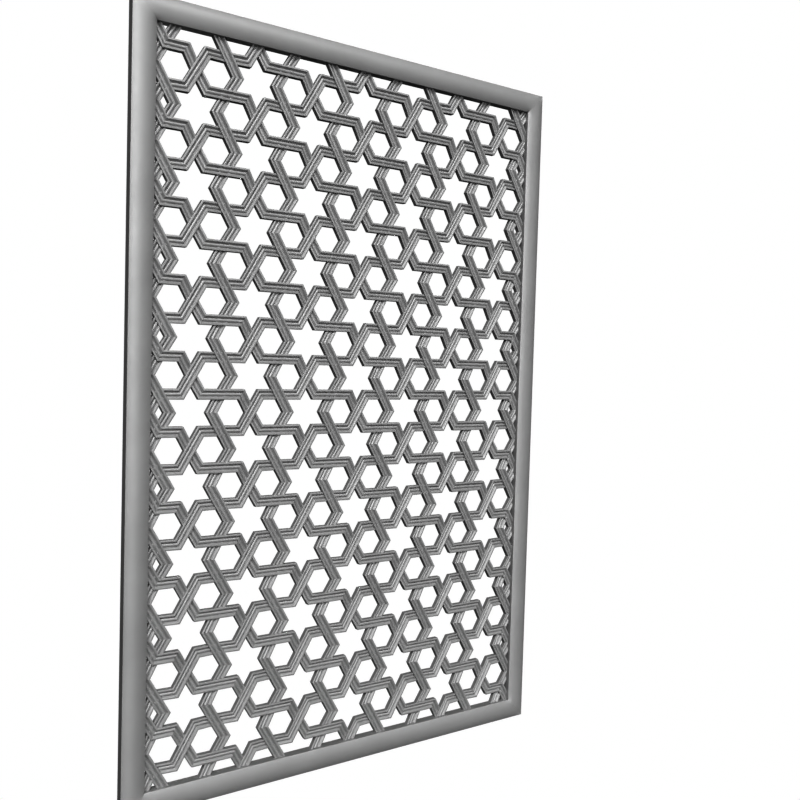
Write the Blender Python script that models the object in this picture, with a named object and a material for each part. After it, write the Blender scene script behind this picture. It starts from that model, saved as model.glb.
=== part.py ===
"""Decorative grille: an interlaced star-and-hexagon lattice cast in one piece, in a mitred frame.

Metres, +Z up. The panel faces -Y. The origin is in the middle of the top rail's flat back.
"""
import math

import bmesh
import bpy
from mathutils import Matrix, Vector

# Lattice: the distance between two stars above each other, and the strand that is woven round them
STAR_PITCH = 0.150
STRAND_WIDTH = 0.02175
STRAND_THICKNESS = 0.0115
WEAVE_DIP = 0.0040           # how far a strand's front sinks where it passes under another
TURN_INSET = 0.0012          # from the outermost crossings in to where the level segments turn back

# Frame: the clear opening, and the section of its four members
OPENING_WIDTH = 0.9476
OPENING_HEIGHT = 1.4966
FRAME_FACE = 0.0468          # width of a member, seen from the front
CROWN_RISE = 0.0058          # height of the rounded front above its two edges
LIP_DEPTH = 0.0061           # from the front's edges back to the lattice
BACK_SPACE = 0.0031          # from the strands' flat back to the frame's back
CROWN_STEPS = 12

# Fits
REBATE_WIDTH = 0.0093        # ledge behind the opening's edge, where the lattice's rim sits
FIT_CLEARANCE = 0.0003       # between the lattice and the frame, and behind the rim
MITRE_GAP = 0.0003
BURIED_END = 0.0030          # how far inside the rim's outer edge the strands stop

FRAME_COLOUR = (0.36, 0.36, 0.36)
LATTICE_COLOUR = (0.34, 0.34, 0.34)
COATING_ROUGHNESS = 0.45

# Depths behind the frame's back plane are negative, as the front faces -Y
strand_back = -BACK_SPACE
strand_front = strand_back - STRAND_THICKNESS
lip_back = strand_front - FIT_CLEARANCE
edge_front = lip_back - LIP_DEPTH

# Each strand turns by 60 degrees at every bend, half a segment from the crossings on both sides of it
SEGMENT = STAR_PITCH / math.sqrt(3)
HALF_WIDTH = STRAND_WIDTH / 2


def clear_scene():
    for obj in list(bpy.data.objects):
        bpy.data.objects.remove(obj, do_unlink=True)


def make_material(name, colour):
    material = bpy.data.materials.new(name)
    material.use_nodes = True
    shader = material.node_tree.nodes["Principled BSDF"]
    shader.inputs["Base Color"].default_value = (*colour, 1.0)
    shader.inputs["Roughness"].default_value = COATING_ROUGHNESS
    shader.inputs["Metallic"].default_value = 0.0
    return material


def add_object(name, bm, parent, material=None):
    bmesh.ops.recalc_face_normals(bm, faces=bm.faces)
    mesh = bpy.data.meshes.new(name)
    bm.to_mesh(mesh)
    bm.free()
    obj = bpy.data.objects.new(name, mesh)
    obj.parent = parent
    bpy.context.scene.collection.objects.link(obj)
    if material:
        mesh.materials.append(material)
    return obj


def direction(degrees):
    return Vector((math.cos(math.radians(degrees)), math.sin(math.radians(degrees))))


def strand_bends(turn, row, reach):
    """Bends of one strand: over segments rise at 60 degrees and under ones run level, before the turn."""
    first = STAR_PITCH / 2 * direction(90) - SEGMENT / 2 * direction(60)
    step = SEGMENT * (direction(60) + direction(0))
    spin = Matrix.Rotation(math.radians(turn), 2)
    star = Vector((0.0, -STAR_PITCH / 2))
    count = math.ceil(reach / step.length) + 1
    bends = []
    for i in range(-count, count + 1):
        foot = first + Vector((0.0, row * STAR_PITCH)) + i * step
        bends.append(star + spin @ foot)
        bends.append(star + spin @ (foot + SEGMENT * direction(60)))
    return bends


def strand_stations(bends):
    """Centre points, sideways offsets and front depths of a strand that starts with an over segment."""
    stations = []
    for i in range(1, len(bends) - 1):
        before = (bends[i] - bends[i - 1]).normalized()
        after = (bends[i + 1] - bends[i]).normalized()
        mitre = (before + after).orthogonal()
        mitre *= HALF_WIDTH / mitre.dot(after.orthogonal())
        stations.append((bends[i], mitre, strand_front))
        middle = (bends[i] + bends[i + 1]) / 2
        dip = WEAVE_DIP if i % 2 == 1 else 0.0
        turns_here = abs(after.y) < 0.5 and abs(abs(middle.x) - outermost_crossings()) < SEGMENT / 100
        if i < len(bends) - 2 and (dip or turns_here):
            stations.append((middle, mitre, strand_front + dip))
    return stations


def outermost_crossings():
    """Distance from the middle to the outermost crossings, where the level segments turn back."""
    column = STAR_PITCH * math.cos(math.radians(30))
    return (math.ceil((OPENING_WIDTH / 2 - SEGMENT) / column) + 0.5) * column


def turned_back(stations, slope):
    """A strand whose outermost level segments turn half way, up or down to a tip that two strands share."""
    limit = outermost_crossings()
    kept = [station for station in stations if abs(station[0].x) < limit + SEGMENT / 100]
    for end in (0, -1):
        middle, mitre, front = kept[end]
        if abs(middle.x) < limit - SEGMENT / 100:
            continue
        side = math.copysign(1.0, middle.x)
        turn = Vector((middle.x - side * TURN_INSET, middle.y))
        height = round(2 * (middle.y + side * slope * STAR_PITCH / 4) / STAR_PITCH) * STAR_PITCH / 2
        tip = Vector((side * (limit - TURN_INSET + SEGMENT / 4), height))
        level = Vector((math.copysign(HALF_WIDTH / math.cos(math.radians(30)), mitre.x), 0.0))
        foot = tip + (turn - tip).normalized() * 1.5 * HALF_WIDTH
        added = [(tip, level, strand_front), (foot, mitre, strand_front), (turn, mitre, front)]
        kept = added + kept[1:] if end == 0 else kept[:-1] + added[::-1]
    return kept


def kept_stretch(bends, half_x, half_z):
    """The stretch of a strand that reaches the panel, beginning with an over segment."""
    near = [i for i, p in enumerate(bends) if abs(p.x) < half_x and abs(p.y) < half_z]
    if not near:
        return []
    start = near[0] - near[0] % 2 - 2
    return bends[start:near[-1] + 3]


def add_strand(bm, stations):
    rings = []
    for centre, side, front in stations:
        left, right = centre + side, centre - side
        corners = ((left, front), (right, front), (right, strand_back), (left, strand_back))
        rings.append([bm.verts.new((point.x, depth, point.y)) for point, depth in corners])
    for near, far in zip(rings, rings[1:]):
        for i in range(4):
            bm.faces.new((near[i], near[i - 1], far[i - 1], far[i]))
    bm.faces.new(rings[0])
    bm.faces.new(reversed(rings[-1]))


def strand_family(name, turn, slope, parent, material=None):
    """All parallel strands of one direction: they never touch each other. Without a slope none turns back."""
    half_x = OPENING_WIDTH / 2 + REBATE_WIDTH + SEGMENT / 2
    half_z = OPENING_HEIGHT / 2 + REBATE_WIDTH + SEGMENT / 2
    reach = math.hypot(half_x, half_z) + 2 * STAR_PITCH
    bm = bmesh.new()
    rows = math.ceil(reach / STAR_PITCH / math.cos(math.radians(30))) + 1
    for row in range(-rows, rows + 1):
        stretch = kept_stretch(strand_bends(turn, row, reach), half_x, half_z)
        if stretch:
            stations = strand_stations(stretch)
            add_strand(bm, turned_back(stations, slope) if slope else stations)
    return add_object(name, bm, parent, material)


def add_box(bm, half_x, half_z, front, back):
    corners = [(-half_x, -half_z), (half_x, -half_z), (half_x, half_z), (-half_x, half_z)]
    near = [bm.verts.new((x, front, z)) for x, z in corners]
    far = [bm.verts.new((x, back, z)) for x, z in corners]
    return near, far


def clip_block(parent):
    """Block that cuts the strands off inside the rim."""
    bm = bmesh.new()
    reach = REBATE_WIDTH - FIT_CLEARANCE - BURIED_END
    near, far = add_box(bm, OPENING_WIDTH / 2 + reach, OPENING_HEIGHT / 2 + reach, edge_front, 0.0)
    bm.faces.new(near)
    bm.faces.new(far)
    for i in range(4):
        bm.faces.new((near[i], near[i - 1], far[i - 1], far[i]))
    return add_object("clip_block", bm, parent)


def rim_ring(parent):
    """Flat ring behind the frame's lip, which joins the strand ends."""
    bm = bmesh.new()
    front, back = strand_front, -FIT_CLEARANCE
    reach = REBATE_WIDTH - FIT_CLEARANCE
    inner = add_box(bm, OPENING_WIDTH / 2, OPENING_HEIGHT / 2, front, back)
    outer = add_box(bm, OPENING_WIDTH / 2 + reach, OPENING_HEIGHT / 2 + reach, front, back)
    for i in range(4):
        for side in (inner, outer):
            bm.faces.new((side[0][i], side[0][i - 1], side[1][i - 1], side[1][i]))
        for level in (0, 1):
            bm.faces.new((inner[level][i], inner[level][i - 1], outer[level][i - 1], outer[level][i]))
    return add_object("rim_ring", bm, parent)


def boolean(obj, other, operation):
    modifier = obj.modifiers.new(other.name, "BOOLEAN")
    modifier.operation = operation
    modifier.solver = "EXACT"
    modifier.object = other
    other.hide_render = True
    other.display_type = "WIRE"


def make_lattice(parent, material):
    lattice = strand_family("lattice", 0, 1, parent, material)
    boolean(lattice, strand_family("strands_level", 120, -1, parent), "UNION")
    boolean(lattice, strand_family("strands_falling", 240, 0, parent), "UNION")
    boolean(lattice, clip_block(parent), "INTERSECT")
    boolean(lattice, rim_ring(parent), "UNION")
    merge_flat = lattice.modifiers.new("merge_flat_faces", "DECIMATE")
    merge_flat.decimate_type = "DISSOLVE"
    merge_flat.angle_limit = math.radians(0.05)
    return lattice


def member_section():
    """Outline of a frame member: distance out from the opening's edge, and depth."""
    half = FRAME_FACE / 2
    radius = (half ** 2 + CROWN_RISE ** 2) / (2 * CROWN_RISE)
    spread = math.atan2(half, radius - CROWN_RISE)
    outline = []
    for i in range(CROWN_STEPS + 1):
        angle = spread * (2 * i / CROWN_STEPS - 1)
        rise = radius * math.cos(angle) - (radius - CROWN_RISE)
        outline.append((half + radius * math.sin(angle), edge_front - rise))
    outline += [(FRAME_FACE, 0.0), (REBATE_WIDTH, 0.0), (REBATE_WIDTH, lip_back), (0.0, lip_back)]
    return outline


def make_member(name, opening_length, opening_across, turn, parent, material):
    """A member along its own X, above the opening, mitred at both ends, then turned into its place."""
    bm = bmesh.new()
    cut_back = MITRE_GAP / 2 * math.sqrt(2)
    ends = []
    for sign in (-1, 1):
        ring = []
        for out, depth in member_section():
            ring.append(bm.verts.new((sign * (opening_length / 2 + out - cut_back), depth, out)))
        ends.append(ring)
    left, right = ends
    for i in range(len(left)):
        bm.faces.new((left[i], left[i - 1], right[i - 1], right[i]))
    bm.faces.new(left)
    bm.faces.new(right)
    member = add_object(name, bm, parent, material)
    member.data.shade_smooth()
    member.data.set_sharp_from_angle(angle=math.radians(30))
    turned = Matrix.Rotation(math.radians(turn), 4, "Y")
    member.location = turned @ Vector((0.0, 0.0, opening_across / 2))
    member.rotation_euler = turned.to_euler()
    return member


def main():
    clear_scene()
    middle = bpy.data.objects.new("panel_middle", None)
    middle.location = (0.0, 0.0, -(OPENING_HEIGHT + FRAME_FACE) / 2)
    bpy.context.scene.collection.objects.link(middle)
    make_lattice(middle, make_material("lattice_coating", LATTICE_COLOUR))
    members = (
        ("top_rail", OPENING_WIDTH, OPENING_HEIGHT, 0),
        ("right_stile", OPENING_HEIGHT, OPENING_WIDTH, 90),
        ("bottom_rail", OPENING_WIDTH, OPENING_HEIGHT, 180),
        ("left_stile", OPENING_HEIGHT, OPENING_WIDTH, 270),
    )
    for name, length, across, turn in members:
        make_member(name, length, across, turn, middle, make_material(name + "_coating", FRAME_COLOUR))
    bpy.context.view_layer.update()


main()
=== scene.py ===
"""Looks of the decorative grille: moulded strands, softly mitred frame, satin coating and studio light."""

import math

import bmesh
import bpy
from mathutils import Euler, Matrix, Vector


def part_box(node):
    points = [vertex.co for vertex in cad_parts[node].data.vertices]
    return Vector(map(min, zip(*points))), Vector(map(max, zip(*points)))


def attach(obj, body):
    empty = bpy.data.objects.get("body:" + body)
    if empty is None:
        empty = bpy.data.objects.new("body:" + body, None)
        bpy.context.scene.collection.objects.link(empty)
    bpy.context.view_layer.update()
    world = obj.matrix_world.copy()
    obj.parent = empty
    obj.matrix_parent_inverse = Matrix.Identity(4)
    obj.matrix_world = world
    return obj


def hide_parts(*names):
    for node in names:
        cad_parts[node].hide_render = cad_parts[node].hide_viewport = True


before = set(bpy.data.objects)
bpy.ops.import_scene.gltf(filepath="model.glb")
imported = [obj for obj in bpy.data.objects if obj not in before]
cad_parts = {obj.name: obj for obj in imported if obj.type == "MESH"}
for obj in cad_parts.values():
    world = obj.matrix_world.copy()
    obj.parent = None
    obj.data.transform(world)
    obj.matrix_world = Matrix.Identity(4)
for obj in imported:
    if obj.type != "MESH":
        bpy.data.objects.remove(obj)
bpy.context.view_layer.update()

# Pattern, as in the solids: stars above each other, and the strand that is woven round them
STAR_PITCH = 0.150
SEGMENT = STAR_PITCH / math.sqrt(3)
STRAND_THICKNESS = 0.0115
HALF_STRAND = 0.010875
FRONT_DIP = 0.00405           # sinking of an under strand's front below its crossing
BACK_DIP = 0.0027             # how far its back comes out there
TURN_INSET = 0.0012           # from the outermost crossings in to where the level segments turn back
TIP_LENGTH = 1.5              # of a tip that two strands share, in half strands
SAME_PLACE = SEGMENT / 100    # points nearer than this are in one place

# Section of a strand: two flat lands, a groove inside each and a round bead in the middle
LAND_INNER = 0.0069           # from the centre line to a land's inner edge
LAND_EASING = ((-0.0003, 0.0005), (0.0004, 0.0))    # points that ease that edge: across from it, and depth
GROOVE_CENTRE = 0.00375
GROOVE_DEPTH = 0.0048
BEAD_DEPTH = 0.0018           # the bead's crown lies this far behind the lands
BEAD_STEPS = 5
EDGE_RADIUS = 0.0010
EDGE_STEPS = 3
BACK_CHAMFER = 0.0004

# Frame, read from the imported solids
rail_low, rail_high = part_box("top_rail")
lattice_low, lattice_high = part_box("lattice")
FACE = rail_high.z - rail_low.z
OUTER_HALF_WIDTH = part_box("right_stile")[1].x
OUTER_HALF_HEIGHT = (rail_high.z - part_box("bottom_rail")[0].z) / 2
HALF_WIDTH = OUTER_HALF_WIDTH - FACE
HALF_HEIGHT = OUTER_HALF_HEIGHT - FACE
MIDDLE = Vector((0.0, 0.0, rail_high.z - OUTER_HALF_HEIGHT))
STRAND_FRONT = lattice_low.y
RIM_BACK = lattice_high.y
RIM_REACH = lattice_high.x - HALF_WIDTH
BURIED_END = 0.0030           # how far inside the rim's outer edge the strands stop

CROWN_RISE = 0.0058
CROWN_STEPS = 36
LIP_GAP = 0.0003
REBATE_WIDTH = RIM_REACH + LIP_GAP
LIP_BACK = STRAND_FRONT - LIP_GAP
EDGE_FRONT = rail_low.y + CROWN_RISE
ARRIS_RADIUS = 0.0006         # softening of the frame's two front edges
ARRIS_FROM = 50               # edges that turn by more degrees than this are softened
MITRE_SOFTNESS = 0.028        # width of the dressed crease over a mitre, at the crown
MITRE_STOPS = (0.0, 0.0012, 0.0025, 0.004, 0.0057, 0.0077, 0.010, 0.0128, 0.016, 0.020, 0.0245, 0.030)
MITRE_SEAM = 0.00004
SMOOTH_FRAME, SMOOTH_STRANDS = 25, 33    # degrees that an edge may turn by and still be shaded smooth

# Frame members: node, half length and distance from the middle at the opening's edge, and turn in degrees
MEMBERS = (
    ("top_rail", HALF_WIDTH, HALF_HEIGHT, 0),
    ("right_stile", HALF_HEIGHT, HALF_WIDTH, 90),
    ("bottom_rail", HALF_WIDTH, HALF_HEIGHT, 180),
    ("left_stile", HALF_HEIGHT, HALF_WIDTH, 270),
)

# Coating
LATTICE_GREY, FRAME_GREY = 0.355, 0.36
TONE_CHANGE = 0.04
TONE_SCALE = 9.0
METALLIC = 0.25
ROUGHNESS = (0.44, 0.52)
ROUGHNESS_SCALE = 60.0
NOISE_LOW, NOISE_HIGH = 0.3, 0.7    # most of the noise lies between these
GRAIN = (1400.0, 0.12, 0.0001)      # fine grain of the powder: noise scale, bump strength and height
WAVES = (70.0, 0.10, 0.0004)        # its slow waviness, given alike
FRAME_SHIFT = 1.7                   # moves the members' noise away from the lattice's

# Camera, solved from the star pattern in the photograph
CAMERA_FROM_MIDDLE = Vector((-1.03635, -1.68725, 0.11265))
CAMERA_HEADING, CAMERA_PITCH, CAMERA_ROLL = 34.51, -2.45, -1.633
CAMERA_LENS = 39.515
CAMERA_REACH = 100.0          # farther than the backdrop

# Lights: name, degrees right of the panel's front, degrees above level, strength and breadth in degrees
LIGHTS = (
    ("key", -42.0, 40.0, 1.60, 22.0),
    ("front_left", -20.0, 10.0, 1.22, 22.0),
    ("high_left", -20.0, 40.0, 0.95, 22.0),
    ("high_front", 0.0, 42.0, 0.38, 22.0),
    ("high_right", 20.0, 40.0, 0.90, 22.0),
    ("front", 0.0, 0.0, 0.38, 22.0),
    ("low_fill", -10.0, -25.0, 0.24, 22.0),
    ("right", 42.0, 15.0, 0.12, 22.0),
    ("back", 172.0, 0.0, 3.9, 8.0),
)
WORLD_STRENGTH = 0.004
VIEW_GAMMA = 0.6              # hard contrast, as in the photograph
BACKDROP_RADIUS, FLOOR_RADIUS = 30.0, 28.0
FLOOR_DROP = 0.60             # from the panel's bottom edge down to the floor


def direction(degrees):
    return Vector((math.cos(math.radians(degrees)), math.sin(math.radians(degrees))))


def new_object(name, bm):
    mesh = bpy.data.meshes.new(name)
    bm.to_mesh(mesh)
    bm.free()
    obj = bpy.data.objects.new(name, mesh)
    bpy.context.scene.collection.objects.link(obj)
    return obj


def half_section():
    """Points of a strand's section from the bead's crown out and round to the back: across, and depth."""
    rise = GROOVE_DEPTH - BEAD_DEPTH
    radius = (GROOVE_CENTRE ** 2 + rise ** 2) / (2 * rise)
    spread = math.asin(min(1.0, GROOVE_CENTRE / radius))
    points = []
    for i in range(BEAD_STEPS + 1):
        angle = spread * i / BEAD_STEPS
        points.append((radius * math.sin(angle), BEAD_DEPTH + radius * (1 - math.cos(angle))))
    points += [(LAND_INNER + across, depth) for across, depth in LAND_EASING]
    for i in range(EDGE_STEPS + 1):
        angle = math.pi / 2 * i / EDGE_STEPS
        across = HALF_STRAND - EDGE_RADIUS * (1 - math.sin(angle))
        points.append((across, EDGE_RADIUS * (1 - math.cos(angle))))
    points.append((HALF_STRAND, STRAND_THICKNESS - BACK_CHAMFER))
    points.append((HALF_STRAND - BACK_CHAMFER, STRAND_THICKNESS))
    return points


def strand_section():
    half = half_section()
    return half + [(-across, depth) for across, depth in reversed(half[1:])]


def strand_bends(turn, row, reach):
    """Bends of one strand: over segments rise at 60 degrees and under ones run level, before the turn."""
    first = STAR_PITCH / 2 * direction(90) - SEGMENT / 2 * direction(60)
    step = SEGMENT * (direction(60) + direction(0))
    spin = Matrix.Rotation(math.radians(turn), 2)
    star = Vector((0.0, -STAR_PITCH / 2))
    count = math.ceil(reach / step.length) + 1
    bends = []
    for i in range(-count, count + 1):
        foot = first + Vector((0.0, row * STAR_PITCH)) + i * step
        bends.append(star + spin @ foot)
        bends.append(star + spin @ (foot + SEGMENT * direction(60)))
    return bends


def outermost_crossings():
    """Distance from the middle to the outermost crossings, where the level segments turn back."""
    column = STAR_PITCH * math.cos(math.radians(30))
    return (math.ceil((HALF_WIDTH - SEGMENT) / column) + 0.5) * column


def strand_stations(bends):
    """Centre points, unit sideways offsets and sinkings of a strand that starts with an over segment."""
    stations = []
    for i in range(1, len(bends) - 1):
        before = (bends[i] - bends[i - 1]).normalized()
        after = (bends[i + 1] - bends[i]).normalized()
        mitre = (before + after).orthogonal()
        mitre /= mitre.dot(after.orthogonal())
        stations.append((bends[i], mitre, 0.0))
        middle = (bends[i] + bends[i + 1]) / 2
        sinking = float(i % 2)
        runs_level = abs(after.y) < 0.5
        turns_here = runs_level and abs(abs(middle.x) - outermost_crossings()) < SAME_PLACE
        if i < len(bends) - 2 and (sinking or turns_here):
            stations.append((middle, mitre, sinking))
    return stations


def turned_back(stations, slope):
    """A strand whose outermost level segments turn half way, up or down to a tip that two strands share."""
    limit = outermost_crossings()
    kept = [station for station in stations if abs(station[0].x) < limit + SAME_PLACE]
    for end in (0, -1):
        middle, mitre, sinking = kept[end]
        if abs(middle.x) < limit - SAME_PLACE:
            continue
        side = math.copysign(1.0, middle.x)
        turn = Vector((middle.x - side * TURN_INSET, middle.y))
        height = round(2 * (middle.y + side * slope * STAR_PITCH / 4) / STAR_PITCH) * STAR_PITCH / 2
        tip = Vector((side * (limit - TURN_INSET + SEGMENT / 4), height))
        level = Vector((math.copysign(1 / math.cos(math.radians(30)), mitre.x), 0.0))
        foot = tip + (turn - tip).normalized() * TIP_LENGTH * HALF_STRAND
        added = [(tip, level, 0.0), (foot, mitre, 0.0), (turn, mitre, sinking)]
        kept = added + kept[1:] if end == 0 else kept[:-1] + added[::-1]
    return kept


def kept_stretch(bends, half_x, half_z):
    """The stretch of a strand that reaches the panel, beginning with an over segment."""
    near = [i for i, p in enumerate(bends) if abs(p.x) < half_x and abs(p.y) < half_z]
    if not near:
        return []
    start = near[0] - near[0] % 2 - 2
    return bends[start:near[-1] + 3]


def add_strand(bm, stations, section):
    rings = []
    for centre, side, sinking in stations:
        ring = []
        for across, depth in section:
            point = centre + side * across
            share = depth / STRAND_THICKNESS
            dip = sinking * (FRONT_DIP + (BACK_DIP - FRONT_DIP) * share)
            ring.append(bm.verts.new((point.x, STRAND_FRONT + depth + dip, point.y)))
        rings.append(ring)
    for k, (near, far) in enumerate(zip(rings, rings[1:])):
        run = stations[k + 1][0] - stations[k][0]
        way = round(math.degrees(math.atan2(run.y, run.x)) / 60) % 3
        for i in range(len(section)):
            bm.faces.new((near[i], near[i - 1], far[i - 1], far[i])).material_index = way
    bm.faces.new(rings[0])
    bm.faces.new(reversed(rings[-1]))


def strand_family(name, turn, slope, ways):
    """All parallel strands of one direction, with a material for each way that a segment runs."""
    half_x = HALF_WIDTH + RIM_REACH + SEGMENT / 2
    half_z = HALF_HEIGHT + RIM_REACH + SEGMENT / 2
    reach = math.hypot(half_x, half_z) + 2 * STAR_PITCH
    rows = math.ceil(reach / STAR_PITCH / math.cos(math.radians(30))) + 1
    section = strand_section()
    bm = bmesh.new()
    for row in range(-rows, rows + 1):
        stretch = kept_stretch(strand_bends(turn, row, reach), half_x, half_z)
        if stretch:
            stations = strand_stations(stretch)
            add_strand(bm, turned_back(stations, slope) if slope else stations, section)
    cut_to_rim(bm)
    bmesh.ops.recalc_face_normals(bm, faces=bm.faces)
    family = new_object(name, bm)
    for way in ways:
        family.data.materials.append(way)
    return family


def rectangles(bm, half_x, half_z, front, back):
    """Corners of a rectangle at two depths."""
    corners = [(-half_x, -half_z), (half_x, -half_z), (half_x, half_z), (-half_x, half_z)]
    near = [bm.verts.new((x, front, z)) for x, z in corners]
    far = [bm.verts.new((x, back, z)) for x, z in corners]
    return near, far


def cut_to_rim(bm):
    """Cuts the strands off inside the rim, and closes their ends."""
    reach = RIM_REACH - BURIED_END
    for x, z in ((1, 0), (-1, 0), (0, 1), (0, -1)):
        plane = (x * (HALF_WIDTH + reach), 0.0, z * (HALF_HEIGHT + reach))
        geometry = bm.verts[:] + bm.edges[:] + bm.faces[:]
        bmesh.ops.bisect_plane(bm, geom=geometry, plane_co=plane, plane_no=(x, 0, z), clear_outer=True)
        bmesh.ops.holes_fill(bm, edges=[edge for edge in bm.edges if edge.is_boundary], sides=0)


def rim_ring():
    """Flat ring behind the frame's lip, which joins the strand ends."""
    bm = bmesh.new()
    inner = rectangles(bm, HALF_WIDTH, HALF_HEIGHT, STRAND_FRONT, RIM_BACK)
    outer = rectangles(bm, HALF_WIDTH + RIM_REACH, HALF_HEIGHT + RIM_REACH, STRAND_FRONT, RIM_BACK)
    for i in range(4):
        for side in (inner, outer):
            bm.faces.new((side[0][i], side[0][i - 1], side[1][i - 1], side[1][i]))
        for level in (0, 1):
            bm.faces.new((inner[level][i], inner[level][i - 1], outer[level][i - 1], outer[level][i]))
    bmesh.ops.recalc_face_normals(bm, faces=bm.faces)
    return new_object("rim_ring", bm)


def add_union(obj, other):
    modifier = obj.modifiers.new(other.name, "BOOLEAN")
    modifier.operation = "UNION"
    modifier.solver = "EXACT"
    modifier.object = other


def crisp_mitres(mesh):
    """Smooth shading along the beads and edges of a segment, but none across a mitre or a crossing."""
    bm = bmesh.new()
    bm.from_mesh(mesh)
    for edge in bm.edges:
        one_way = len({face.material_index for face in edge.link_faces}) == 1
        edge.smooth = one_way and edge.calc_face_angle(math.pi) < math.radians(SMOOTH_STRANDS)
    for face in bm.faces:
        face.smooth = True
        face.material_index = 0
    bm.to_mesh(mesh)
    bm.free()


def make_lattice():
    ways = [bpy.data.materials.new("way_" + word) for word in ("level", "rising", "falling")]
    lattice = strand_family("lattice_casting", 0, 1, ways)
    helpers = [
        strand_family("strands_level", 120, -1, ways),
        strand_family("strands_falling", 240, 0, ways),
        rim_ring(),
    ]
    for helper in helpers:
        add_union(lattice, helper)
    evaluated = lattice.evaluated_get(bpy.context.evaluated_depsgraph_get())
    merged = bpy.data.meshes.new_from_object(evaluated)
    lattice.modifiers.clear()
    lattice.data = merged
    merged.transform(Matrix.Translation(MIDDLE))
    crisp_mitres(merged)
    merged.materials.clear()
    for helper in helpers:
        bpy.data.objects.remove(helper)
    for way in ways:
        bpy.data.materials.remove(way)
    return lattice


def crown_depth(out):
    """Depth of a member's rounded front, at a distance out from the opening's edge."""
    half = FACE / 2
    radius = (half ** 2 + CROWN_RISE ** 2) / (2 * CROWN_RISE)
    rise = math.sqrt(radius ** 2 - (out - half) ** 2) - (radius - CROWN_RISE)
    return EDGE_FRONT - rise


def member_outs():
    """Distances out from the opening's edge at which the front is divided."""
    half = FACE / 2
    return [half * (1 - math.cos(math.pi * i / CROWN_STEPS)) for i in range(CROWN_STEPS + 1)]


def softened(out, from_mitre):
    """Distance out that gives the front's depth near a mitre, where the two members' crowns are blended."""
    centred = 2 * out / FACE - 1
    softness = MITRE_SOFTNESS * (1 - centred ** 4)
    if softness <= 0.0 or from_mitre >= softness:
        return out
    overlap = 1 - from_mitre / softness
    return min(FACE, out + overlap ** 2 * softness / 4)


def make_member(name, along, across, turn):
    """A member along X above the opening, with a fine front that blends over its mitres, then turned."""
    back = [(FACE, 0.0), (REBATE_WIDTH, 0.0), (REBATE_WIDTH, LIP_BACK), (0.0, LIP_BACK)]
    bm = bmesh.new()
    columns = []
    for side in (-1, 1):
        for stop in (MITRE_STOPS if side < 0 else reversed(MITRE_STOPS)):
            front = [(out, crown_depth(softened(out, stop))) for out in member_outs()]
            column = []
            for out, depth in front + back:
                end = along + out - MITRE_SEAM - stop
                column.append(bm.verts.new((side * end, depth, out)))
            columns.append(column)
    for near, far in zip(columns, columns[1:]):
        for i in range(len(near)):
            bm.faces.new((near[i], near[i - 1], far[i - 1], far[i]))
    bm.faces.new(columns[0])
    bm.faces.new(reversed(columns[-1]))
    bmesh.ops.recalc_face_normals(bm, faces=bm.faces)
    member = new_object(name, bm)
    turned = Matrix.Rotation(math.radians(turn), 4, "Y") @ Matrix.Translation((0.0, 0.0, across))
    member.data.transform(Matrix.Translation(MIDDLE) @ turned)
    member.data.shade_smooth()
    member.data.set_sharp_from_angle(angle=math.radians(SMOOTH_FRAME))
    bevel = member.modifiers.new("arris", "BEVEL")
    bevel.width = ARRIS_RADIUS
    bevel.segments = 2
    bevel.limit_method = "ANGLE"
    bevel.angle_limit = math.radians(ARRIS_FROM)
    bevel.harden_normals = True
    return member


def coating(name, grey, seed):
    """Satin powder coating: a fine grain, slow waviness and slight changes of tone and gloss."""
    material = bpy.data.materials.new(name)
    material.use_nodes = True
    nodes, links = material.node_tree.nodes, material.node_tree.links
    shader = nodes["Principled BSDF"]
    shader.inputs["Metallic"].default_value = METALLIC
    shader.inputs["Specular IOR Level"].default_value = 0.5
    place = nodes.new("ShaderNodeTexCoord").outputs["Object"]
    shift = nodes.new("ShaderNodeMapping")
    shift.inputs["Location"].default_value = (seed, 0.37 * seed, 0.71 * seed)
    links.new(place, shift.inputs["Vector"])

    def noise(scale, detail):
        node = nodes.new("ShaderNodeTexNoise")
        node.inputs["Scale"].default_value = scale
        node.inputs["Detail"].default_value = detail
        links.new(shift.outputs["Vector"], node.inputs["Vector"])
        return node.outputs["Fac"]

    def spread(value, low, high):
        node = nodes.new("ShaderNodeMapRange")
        node.inputs["From Min"].default_value = NOISE_LOW
        node.inputs["From Max"].default_value = NOISE_HIGH
        node.inputs["To Min"].default_value = low
        node.inputs["To Max"].default_value = high
        links.new(value, node.inputs["Value"])
        return node.outputs["Result"]

    def bump(scale, strength, height):
        node = nodes.new("ShaderNodeBump")
        node.inputs["Strength"].default_value = strength
        node.inputs["Distance"].default_value = height
        links.new(noise(scale, 2.0), node.inputs["Height"])
        return node

    tone = nodes.new("ShaderNodeMix")
    tone.data_type = "RGBA"
    tone.inputs["A"].default_value = (*[grey * (1 - TONE_CHANGE)] * 3, 1.0)
    tone.inputs["B"].default_value = (*[grey * (1 + TONE_CHANGE)] * 3, 1.0)
    links.new(spread(noise(TONE_SCALE, 4.0), 0.0, 1.0), tone.inputs["Factor"])
    links.new(tone.outputs["Result"], shader.inputs["Base Color"])
    links.new(spread(noise(ROUGHNESS_SCALE, 3.0), *ROUGHNESS), shader.inputs["Roughness"])
    grain = bump(*GRAIN)
    waves = bump(*WAVES)
    links.new(grain.outputs["Normal"], waves.inputs["Normal"])
    links.new(waves.outputs["Normal"], shader.inputs["Normal"])
    return material


def build_piece(piece, node, material):
    piece.data.materials.clear()
    piece.data.materials.append(material)
    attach(piece, "root")
    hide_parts(node)


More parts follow.
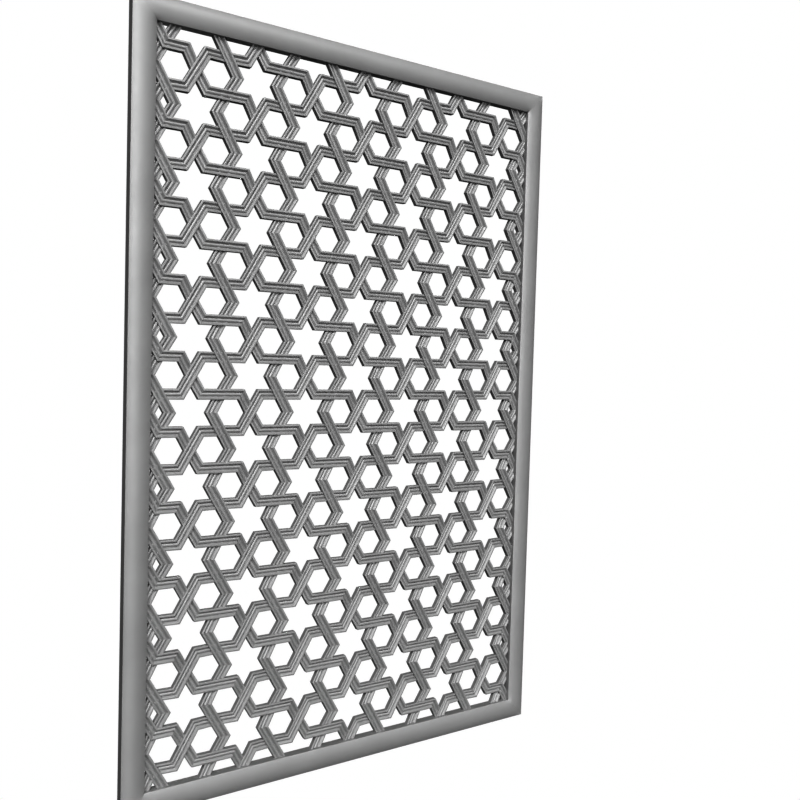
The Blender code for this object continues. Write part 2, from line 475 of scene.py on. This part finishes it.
def white_glow(name):
    material = bpy.data.materials.new(name)
    material.use_nodes = True
    nodes, links = material.node_tree.nodes, material.node_tree.links
    nodes.clear()
    glow = nodes.new("ShaderNodeEmission")
    glow.inputs["Color"].default_value = (1.0, 1.0, 1.0, 1.0)
    glow.inputs["Strength"].default_value = 1.0
    out = nodes.new("ShaderNodeOutputMaterial")
    links.new(glow.outputs["Emission"], out.inputs["Surface"])
    return material


def seen_by_camera_only(obj):
    obj.visible_diffuse = False
    obj.visible_glossy = False
    obj.visible_transmission = False
    obj.visible_shadow = False


def make_backdrop():
    """A white dome far round the panel and a pale floor below it."""
    bm = bmesh.new()
    bmesh.ops.create_icosphere(bm, subdivisions=3, radius=BACKDROP_RADIUS)
    dome = new_object("backdrop", bm)
    dome.data.materials.append(white_glow("backdrop_white"))
    bm = bmesh.new()
    bmesh.ops.create_circle(bm, cap_ends=True, segments=96, radius=FLOOR_RADIUS)
    floor = new_object("floor", bm)
    floor.location = (0.0, 0.0, MIDDLE.z - OUTER_HALF_HEIGHT - FLOOR_DROP)
    floor.data.materials.append(white_glow("floor_white"))
    for obj in (dome, floor):
        seen_by_camera_only(obj)


def soft_sun(name, heading, height, strength, breadth):
    """A broad even light from heading degrees right of the panel's front and height degrees above it."""
    data = bpy.data.lights.new(name, "SUN")
    data.energy = strength
    data.angle = math.radians(breadth)
    light = bpy.data.objects.new(name, data)
    bpy.context.scene.collection.objects.link(light)
    heading, height = math.radians(heading), math.radians(height)
    level = math.cos(height)
    towards = Vector((math.sin(heading) * level, -math.cos(heading) * level, math.sin(height)))
    light.rotation_euler = (-towards).to_track_quat("-Z", "Y").to_euler()


def make_lights():
    for light in LIGHTS:
        soft_sun(*light)
    world = bpy.data.worlds.new("studio")
    world.use_nodes = True
    world.node_tree.nodes["Background"].inputs["Color"].default_value = (1.0, 1.0, 1.0, 1.0)
    world.node_tree.nodes["Background"].inputs["Strength"].default_value = WORLD_STRENGTH
    bpy.context.scene.world = world


def make_camera():
    data = bpy.data.cameras.new("camera")
    data.lens = CAMERA_LENS
    data.sensor_width = 36.0
    data.clip_end = CAMERA_REACH
    camera = bpy.data.objects.new("camera", data)
    bpy.context.scene.collection.objects.link(camera)
    camera.location = MIDDLE + CAMERA_FROM_MIDDLE
    upright = Euler((math.radians(90 + CAMERA_PITCH), 0.0, math.radians(-CAMERA_HEADING))).to_matrix()
    roll = Matrix.Rotation(math.radians(-CAMERA_ROLL), 3, "Z")
    camera.rotation_euler = (upright @ roll).to_euler()
    bpy.context.scene.camera = camera


make_camera()
make_backdrop()
make_lights()
bpy.context.scene.view_settings.view_transform = "Standard"
bpy.context.scene.view_settings.gamma = VIEW_GAMMA
build_piece(make_lattice(), "lattice", coating("lattice_satin", LATTICE_GREY, 0.0))
for number, (node, along, across, turn) in enumerate(MEMBERS):
    member = make_member(node + "_moulding", along, across, turn)
    build_piece(member, node, coating(node + "_satin", FRAME_GREY, FRAME_SHIFT + number))
